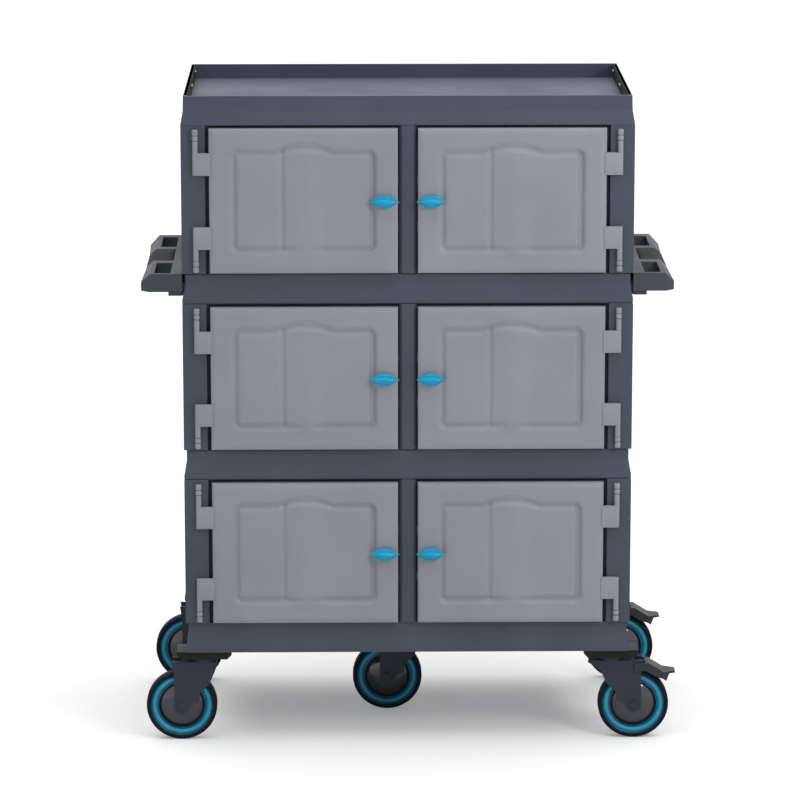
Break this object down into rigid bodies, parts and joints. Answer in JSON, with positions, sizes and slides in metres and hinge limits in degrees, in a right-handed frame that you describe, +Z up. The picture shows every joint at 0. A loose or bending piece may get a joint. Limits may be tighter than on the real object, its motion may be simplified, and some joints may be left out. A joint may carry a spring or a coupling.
{
  "type": "meal tray cart",
  "caption": "Enclosed meal tray cart: stacked double-door cupboards with turn latches, a rimmed top tray, push handles at both ends and swivel casters.",
  "frame": {"origin": "on the floor under the middle of the cart", "axes": "+Z up, the doors face -Y, +X to the right of someone who looks at the doors"},
  "size_m": [1.198, 0.596, 1.473],
  "materials": {
    "body": "moulded polyethylene, charcoal, fine leather-like grain",
    "door": "moulded polyethylene, light grey, fine grain",
    "handle": "moulded polyethylene, slate grey",
    "grip": "soft black rubber",
    "seal": "soft blue-black rubber",
    "latch": "glossy blue nylon",
    "runner": "brushed stainless steel",
    "steel": "zinc plated steel",
    "caster": "black powder-coated steel",
    "pedal": "black glass-filled nylon",
    "hub": "black nylon with a blue ring",
    "tyre": "soft grey-black rubber"
  },
  "bodies": {
    "root": {"base_deck": "body", "lower_deck": "body", "upper_deck": "body", "top_tray": "body", "left_wall_lower": "body", "left_wall_middle": "body", "left_wall_upper": "body", "right_wall_lower": "body", "right_wall_middle": "body", "right_wall_upper": "body", "partition_lower": "body", "partition_middle": "body", "partition_upper": "body", "back_panel_lower": "body", "back_panel_middle": "body", "back_panel_upper": "body", "tray_runners": "runner", "hinge_brackets": "door", "hinge_pins": "steel", "door_seals": "door", "handle_left": "handle", "handle_right": "handle", "handle_pads": "grip", "caster_plates": "caster", "kingpins": "steel", "plate_bolts": "steel"},
    "door_left_lower": {"door_left_lower": "door"},
    "latch_left_lower": {"latch_left_lower": "latch"},
    "door_left_middle": {"door_left_middle": "door"},
    "latch_left_middle": {"latch_left_middle": "latch"},
    "door_left_upper": {"door_left_upper": "door"},
    "latch_left_upper": {"latch_left_upper": "latch"},
    "door_right_lower": {"door_right_lower": "door"},
    "latch_right_lower": {"latch_right_lower": "latch"},
    "door_right_middle": {"door_right_middle": "door"},
    "latch_right_middle": {"latch_right_middle": "latch"},
    "door_right_upper": {"door_right_upper": "door"},
    "latch_right_upper": {"latch_right_upper": "latch"},
    "fork_front_left": {"fork_front_left": "caster", "axle_front_left": "steel"},
    "wheel_front_left": {"tyre_front_left": "tyre", "hub_front_left": "hub"},
    "fork_front_right": {"fork_front_right": "caster", "axle_front_right": "steel"},
    "wheel_front_right": {"tyre_front_right": "tyre", "hub_front_right": "hub"},
    "pedal_front_right": {"pedal_front_right": "pedal"},
    "fork_rear_left": {"fork_rear_left": "caster", "axle_rear_left": "steel"},
    "wheel_rear_left": {"tyre_rear_left": "tyre", "hub_rear_left": "hub"},
    "fork_rear_right": {"fork_rear_right": "caster", "axle_rear_right": "steel"},
    "wheel_rear_right": {"tyre_rear_right": "tyre", "hub_rear_right": "hub"},
    "pedal_rear_right": {"pedal_rear_right": "pedal"},
    "fork_centre": {"fork_centre": "caster", "axle_centre": "steel"},
    "wheel_centre": {"tyre_centre": "tyre", "hub_centre": "hub"}
  },
  "joints": [
    {"name": "door_left_lower_hinge", "type": "hinge", "parent": "root", "child": "door_left_lower", "pos_m": [-0.468, -0.2685, 0.44225], "axis": [0, 0, -1], "range_deg": [0, 170]},
    {"name": "latch_left_lower_turn", "type": "hinge", "parent": "door_left_lower", "child": "latch_left_lower", "pos_m": [-0.052, -0.274, 0.44225], "axis": [0, 1, 0], "range_deg": [0, 90]},
    {"name": "door_left_middle_hinge", "type": "hinge", "parent": "root", "child": "door_left_middle", "pos_m": [-0.468, -0.2685, 0.84175], "axis": [0, 0, -1], "range_deg": [0, 170]},
    {"name": "latch_left_middle_turn", "type": "hinge", "parent": "door_left_middle", "child": "latch_left_middle", "pos_m": [-0.052, -0.274, 0.84175], "axis": [0, 1, 0], "range_deg": [0, 90]},
    {"name": "door_left_upper_hinge", "type": "hinge", "parent": "root", "child": "door_left_upper", "pos_m": [-0.468, -0.2685, 1.24125], "axis": [0, 0, -1], "range_deg": [0, 170]},
    {"name": "latch_left_upper_turn", "type": "hinge", "parent": "door_left_upper", "child": "latch_left_upper", "pos_m": [-0.052, -0.274, 1.24125], "axis": [0, 1, 0], "range_deg": [0, 90]},
    {"name": "door_right_lower_hinge", "type": "hinge", "parent": "root", "child": "door_right_lower", "pos_m": [0.468, -0.2685, 0.44225], "axis": [0, 0, 1], "range_deg": [0, 170]},
    {"name": "latch_right_lower_turn", "type": "hinge", "parent": "door_right_lower", "child": "latch_right_lower", "pos_m": [0.052, -0.274, 0.44225], "axis": [0, 1, 0], "range_deg": [0, 90]},
    {"name": "door_right_middle_hinge", "type": "hinge", "parent": "root", "child": "door_right_middle", "pos_m": [0.468, -0.2685, 0.84175], "axis": [0, 0, 1], "range_deg": [0, 170]},
    {"name": "latch_right_middle_turn", "type": "hinge", "parent": "door_right_middle", "child": "latch_right_middle", "pos_m": [0.052, -0.274, 0.84175], "axis": [0, 1, 0], "range_deg": [0, 90]},
    {"name": "door_right_upper_hinge", "type": "hinge", "parent": "root", "child": "door_right_upper", "pos_m": [0.468, -0.2685, 1.24125], "axis": [0, 0, 1], "range_deg": [0, 170]},
    {"name": "latch_right_upper_turn", "type": "hinge", "parent": "door_right_upper", "child": "latch_right_upper", "pos_m": [0.052, -0.274, 1.24125], "axis": [0, 1, 0], "range_deg": [0, 90]},
    {"name": "swivel_front_left", "type": "hinge", "parent": "root", "child": "fork_front_left", "pos_m": [-0.46, -0.222, 0.178], "axis": [0, 0, 1], "continuous": true},
    {"name": "wheel_front_left_spin", "type": "hinge", "parent": "fork_front_left", "child": "wheel_front_left", "pos_m": [-0.512, -0.222, 0.08], "axis": [0, 1, 0], "continuous": true},
    {"name": "swivel_front_right", "type": "hinge", "parent": "root", "child": "fork_front_right", "pos_m": [0.46, -0.222, 0.178], "axis": [0, 0, 1], "continuous": true},
    {"name": "wheel_front_right_spin", "type": "hinge", "parent": "fork_front_right", "child": "wheel_front_right", "pos_m": [0.512, -0.222, 0.08], "axis": [0, 1, 0], "continuous": true},
    {"name": "pedal_front_right_press", "type": "hinge", "parent": "fork_front_right", "child": "pedal_front_right", "pos_m": [0.522, -0.222, 0.168], "axis": [0, 1, 0], "range_deg": [0, 9.5]},
    {"name": "swivel_rear_left", "type": "hinge", "parent": "root", "child": "fork_rear_left", "pos_m": [-0.46, 0.264, 0.178], "axis": [0, 0, 1], "continuous": true},
    {"name": "wheel_rear_left_spin", "type": "hinge", "parent": "fork_rear_left", "child": "wheel_rear_left", "pos_m": [-0.512, 0.264, 0.08], "axis": [0, 1, 0], "continuous": true},
    {"name": "swivel_rear_right", "type": "hinge", "parent": "root", "child": "fork_rear_right", "pos_m": [0.46, 0.264, 0.178], "axis": [0, 0, 1], "continuous": true},
    {"name": "wheel_rear_right_spin", "type": "hinge", "parent": "fork_rear_right", "child": "wheel_rear_right", "pos_m": [0.512, 0.264, 0.08], "axis": [0, 1, 0], "continuous": true},
    {"name": "pedal_rear_right_press", "type": "hinge", "parent": "fork_rear_right", "child": "pedal_rear_right", "pos_m": [0.522, 0.264, 0.168], "axis": [0, 1, 0], "range_deg": [0, 9.5]},
    {"name": "swivel_centre", "type": "hinge", "parent": "root", "child": "fork_centre", "pos_m": [0.008, 0.018, 0.178], "axis": [0, 0, 1], "continuous": true},
    {"name": "wheel_centre_spin", "type": "hinge", "parent": "fork_centre", "child": "wheel_centre", "pos_m": [-0.044, 0.018, 0.08], "axis": [0, 1, 0], "continuous": true}
  ]
}
